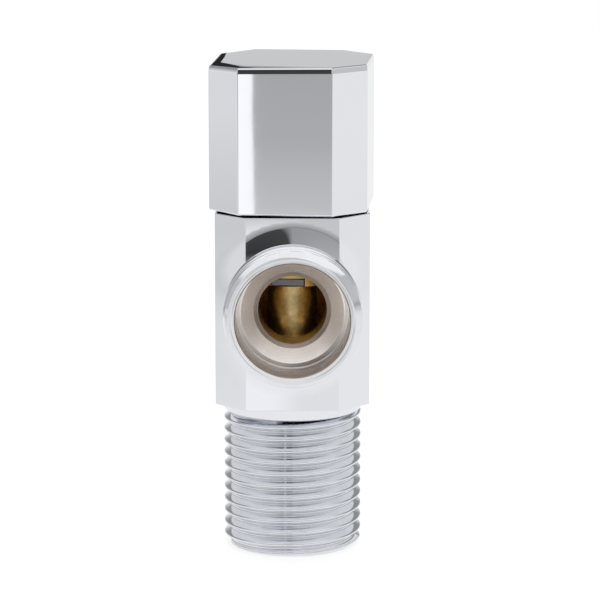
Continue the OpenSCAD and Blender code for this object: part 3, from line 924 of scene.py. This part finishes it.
class VALVE_OT_stage(bpy.types.Operator):
    """Floor, world, lamps, reflection cards and camera"""

    bl_idname = "valve.stage"
    bl_label = "Studio"

    def execute(self, context):
        studio = context.scene.valve_studio
        self.floor(context)
        self.world(context)
        self.lamps(context, studio.lamp)
        self.cards(context)
        data = bpy.data.cameras.new("camera")
        data.lens = studio.lens
        data.sensor_width = 36
        data.clip_start, data.clip_end = 0.01, 20
        camera = bpy.data.objects.new("camera", data)
        camera.location = studio.camera_place
        camera.rotation_euler = (math.pi / 2 - studio.pitch, 0, -studio.yaw)
        context.scene.collection.objects.link(camera)
        context.scene.camera = camera
        context.scene.view_settings.view_transform = "Standard"
        return {"FINISHED"}

    @staticmethod
    def sheet(context, name, corners, material):
        """A flat sheet through four corners."""
        mesh = bpy.data.meshes.new(name)
        mesh.from_pydata(corners, [], [(0, 1, 2, 3)])
        mesh.materials.append(material)
        piece = bpy.data.objects.new(name, mesh)
        context.scene.collection.objects.link(piece)
        return piece

    def floor(self, context):
        """White paper. It is white to the camera apart from the shadow, and metal sees it as a glow with
        painted shade and bright strips by place.
        """
        material, link, shader, add = new_finish("paper")
        tree = material.node_tree
        tree.nodes.remove(shader)
        place = place_nodes(add, link)
        axes = add("ShaderNodeSeparateXYZ")
        link(place, axes.inputs["Vector"])
        x, y = axes.outputs["X"], axes.outputs["Y"]
        # Painted shade and bright strips: glow levels by place that only reflections see.
        near = keyed(add, link, x, -0.1, 0.1, [
            (-0.07, 0.61), (-0.045, 0.62), (-0.02, 0.88), (-0.002, 0.86), (0.003, 0.62), (0.03, 0.66)])
        under = keyed(add, link, x, -0.1, 0.1, [(-0.03, 0.98), (-0.004, 0.98), (0.002, 0.84), (0.05, 0.88)])
        around = keyed(add, link, x, -0.6, 0.6, [
            (-0.5, 0.78), (-0.3, 0.66), (-0.14, 0.82), (0.0, 0.92), (0.14, 0.9), (0.3, 0.85), (0.5, 0.89)])
        far = keyed(add, link, y, -1.5, 0.0, [
            (-1.3, 0.3), (-0.45, 0.46), (-0.39, 0.52), (-0.33, 0.58), (-0.29, 1.0)])
        front = add("ShaderNodeMix", data_type="RGBA", blend_type="DARKEN", Factor=1.0)
        link(near, front.inputs["A"])
        link(far, front.inputs["B"])
        middle = between(add, link, y, -0.21, -0.18, front.outputs["Result"], under)
        seen = between(add, link, y, -0.11, -0.03, middle, around)
        mirrored = add("ShaderNodeEmission")
        link(seen, mirrored.inputs["Color"])
        diffuse = add("ShaderNodeBsdfDiffuse", Color=(0.9, 0.9, 0.9, 1))
        glow = add("ShaderNodeEmission", Color=(1, 1, 1, 1), Strength=1.08)
        shown = add("ShaderNodeMixShader", Fac=0.3)
        link(glow.outputs["Emission"], shown.inputs[1])
        link(diffuse.outputs["BSDF"], shown.inputs[2])
        ray = add("ShaderNodeLightPath").outputs["Is Glossy Ray"]
        surface = either(add, link, ray, shown.outputs["Shader"], mirrored.outputs["Emission"])
        link(surface, tree.nodes["Material Output"].inputs["Surface"])
        self.sheet(context, "floor", [(-3, -3, 0), (3, -3, 0), (3, 3, 0), (-3, 3, 0)], material)

    @staticmethod
    def world(context):
        """White to the camera; metal sees a dark room with a bright softbox in front and grey behind."""
        world = bpy.data.worlds.new("room")
        world.use_nodes = True
        context.scene.world = world
        tree = world.node_tree
        link, add = tree.links.new, node_maker(tree.nodes)
        plain = tree.nodes["Background"]
        plain.inputs["Color"].default_value = (0.8, 0.8, 0.8, 1)
        axes = add("ShaderNodeSeparateXYZ")
        link(add("ShaderNodeTexCoord").outputs["Generated"], axes.inputs["Vector"])
        x, y, z = axes.outputs["X"], axes.outputs["Y"], axes.outputs["Z"]
        low_front = keyed(add, link, x, -1.0, 1.0, [
            (-0.9, 0.55), (-0.5, 0.3), (-0.3, 0.04), (-0.03, 0.06), (0.0, 0.34), (0.25, 0.42), (0.9, 0.6)])
        softbox = keyed(add, link, x, -1.0, 1.0, [(-0.9, 0.9), (-0.2, 1.0), (0.9, 1.0)])
        front = between(add, link, z, 0.45, 0.58, low_front, softbox)
        back = keyed(add, link, z, 0.0, 1.0, [
            (0.0, 0.92), (0.06, 0.86), (0.1, 0.62), (0.16, 0.58), (0.26, 0.32), (0.5, 0.3), (0.8, 0.4),
            (1.0, 0.6)])
        seen = between(add, link, y, 0.0, 0.3, front, back)
        mirrored = add("ShaderNodeBackground")
        link(seen, mirrored.inputs["Color"])
        white = add("ShaderNodeBackground", Color=(1, 1, 1, 1)).outputs["Background"]
        rays = add("ShaderNodeLightPath").outputs
        room = either(
            add, link, rays["Is Glossy Ray"], plain.outputs["Background"], mirrored.outputs["Background"])
        surface = either(add, link, rays["Is Camera Ray"], room, white)
        link(surface, tree.nodes["World Output"].inputs["Surface"])

    @staticmethod
    def lamps(context, strength):
        """Large soft lamps above, in front and to the sides."""
        for name, place, width, power in (
                ("top_lamp", (0.0, 0.05, 0.7), 0.7, 3.2),
                ("front_lamp", (-0.12, -0.6, 0.4), 0.4, 2.4),
                ("left_lamp", (-0.6, -0.1, 0.35), 0.5, 1.6),
                ("right_lamp", (0.6, -0.15, 0.35), 0.5, 2.0)):
            data = bpy.data.lights.new(name, "AREA")
            data.size = width
            data.energy = power * strength
            lamp = bpy.data.objects.new(name, data)
            lamp.location = place
            aim = np.array([0, 0, 0.04]) - np.array(place)
            lamp.rotation_euler = (math.acos(-aim[2] / np.linalg.norm(aim)), 0, math.atan2(aim[0], -aim[1]))
            lamp.visible_glossy = False
            lamp.visible_camera = False
            context.scene.collection.objects.link(lamp)

    def cards(self, context):
        """Cards that only reflections see: one white, left of the camera, and one black behind the left."""
        for name, level, corners in (
                ("white_card", 1.0, [(-0.0656, -0.3, 0.002), (-0.08, -0.295, 0.002), (-0.08, -0.295, 0.06),
                                     (-0.0656, -0.3, 0.06)]),
                ("black_card", 0.02, [(-0.026, 0.4, 0.07), (-0.042, 0.4, 0.07), (-0.16, 0.4, 0.3),
                                      (-0.04, 0.4, 0.3)])):
            material, link, shader, add = new_finish(name)
            nodes = material.node_tree.nodes
            nodes.remove(shader)
            glow = add("ShaderNodeEmission", Color=(level, level, level, 1), Strength=1.1)
            link(glow.outputs["Emission"], nodes["Material Output"].inputs["Surface"])
            card = self.sheet(context, name, corners, material)
            for ray in ("camera", "diffuse", "shadow", "transmission"):
                setattr(card, "visible_" + ray, False)


class VALVE_PT_panel(bpy.types.Panel):
    """Lists the pieces and the studio"""

    bl_idname = "VALVE_PT_panel"
    bl_label = "Angle Stop Valve"
    bl_space_type = "VIEW_3D"
    bl_region_type = "UI"
    bl_category = "Valve"

    def draw(self, context):
        for operator in OPERATORS:
            self.layout.operator(operator.bl_idname)


GROUPS = (
    ("valve_body_sizes", ValveBodySizes),
    ("valve_handle_sizes", ValveHandleSizes),
    ("valve_finishes", ValveFinishes),
    ("valve_studio", ValveStudio),
)
OPERATORS = (
    VALVE_OT_body, VALVE_OT_handle, VALVE_OT_brass, VALVE_OT_discs, VALVE_OT_seals, VALVE_OT_fixings,
    VALVE_OT_stage,
)


def register():
    for name, group in GROUPS:
        bpy.utils.register_class(group)
        setattr(bpy.types.Scene, name, bpy.props.PointerProperty(type=group))
    for cls in (*OPERATORS, VALVE_PT_panel):
        bpy.utils.register_class(cls)


def unregister():
    for cls in (VALVE_PT_panel, *reversed(OPERATORS)):
        bpy.utils.unregister_class(cls)
    for name, group in reversed(GROUPS):
        delattr(bpy.types.Scene, name)
        bpy.utils.unregister_class(group)


def main():
    register()
    bpy.ops.valve.body()
    bpy.ops.valve.handle()
    bpy.ops.valve.brass()
    bpy.ops.valve.discs()
    bpy.ops.valve.seals()
    bpy.ops.valve.fixings()
    bpy.ops.valve.stage()


if __name__ == "__main__":
    main()
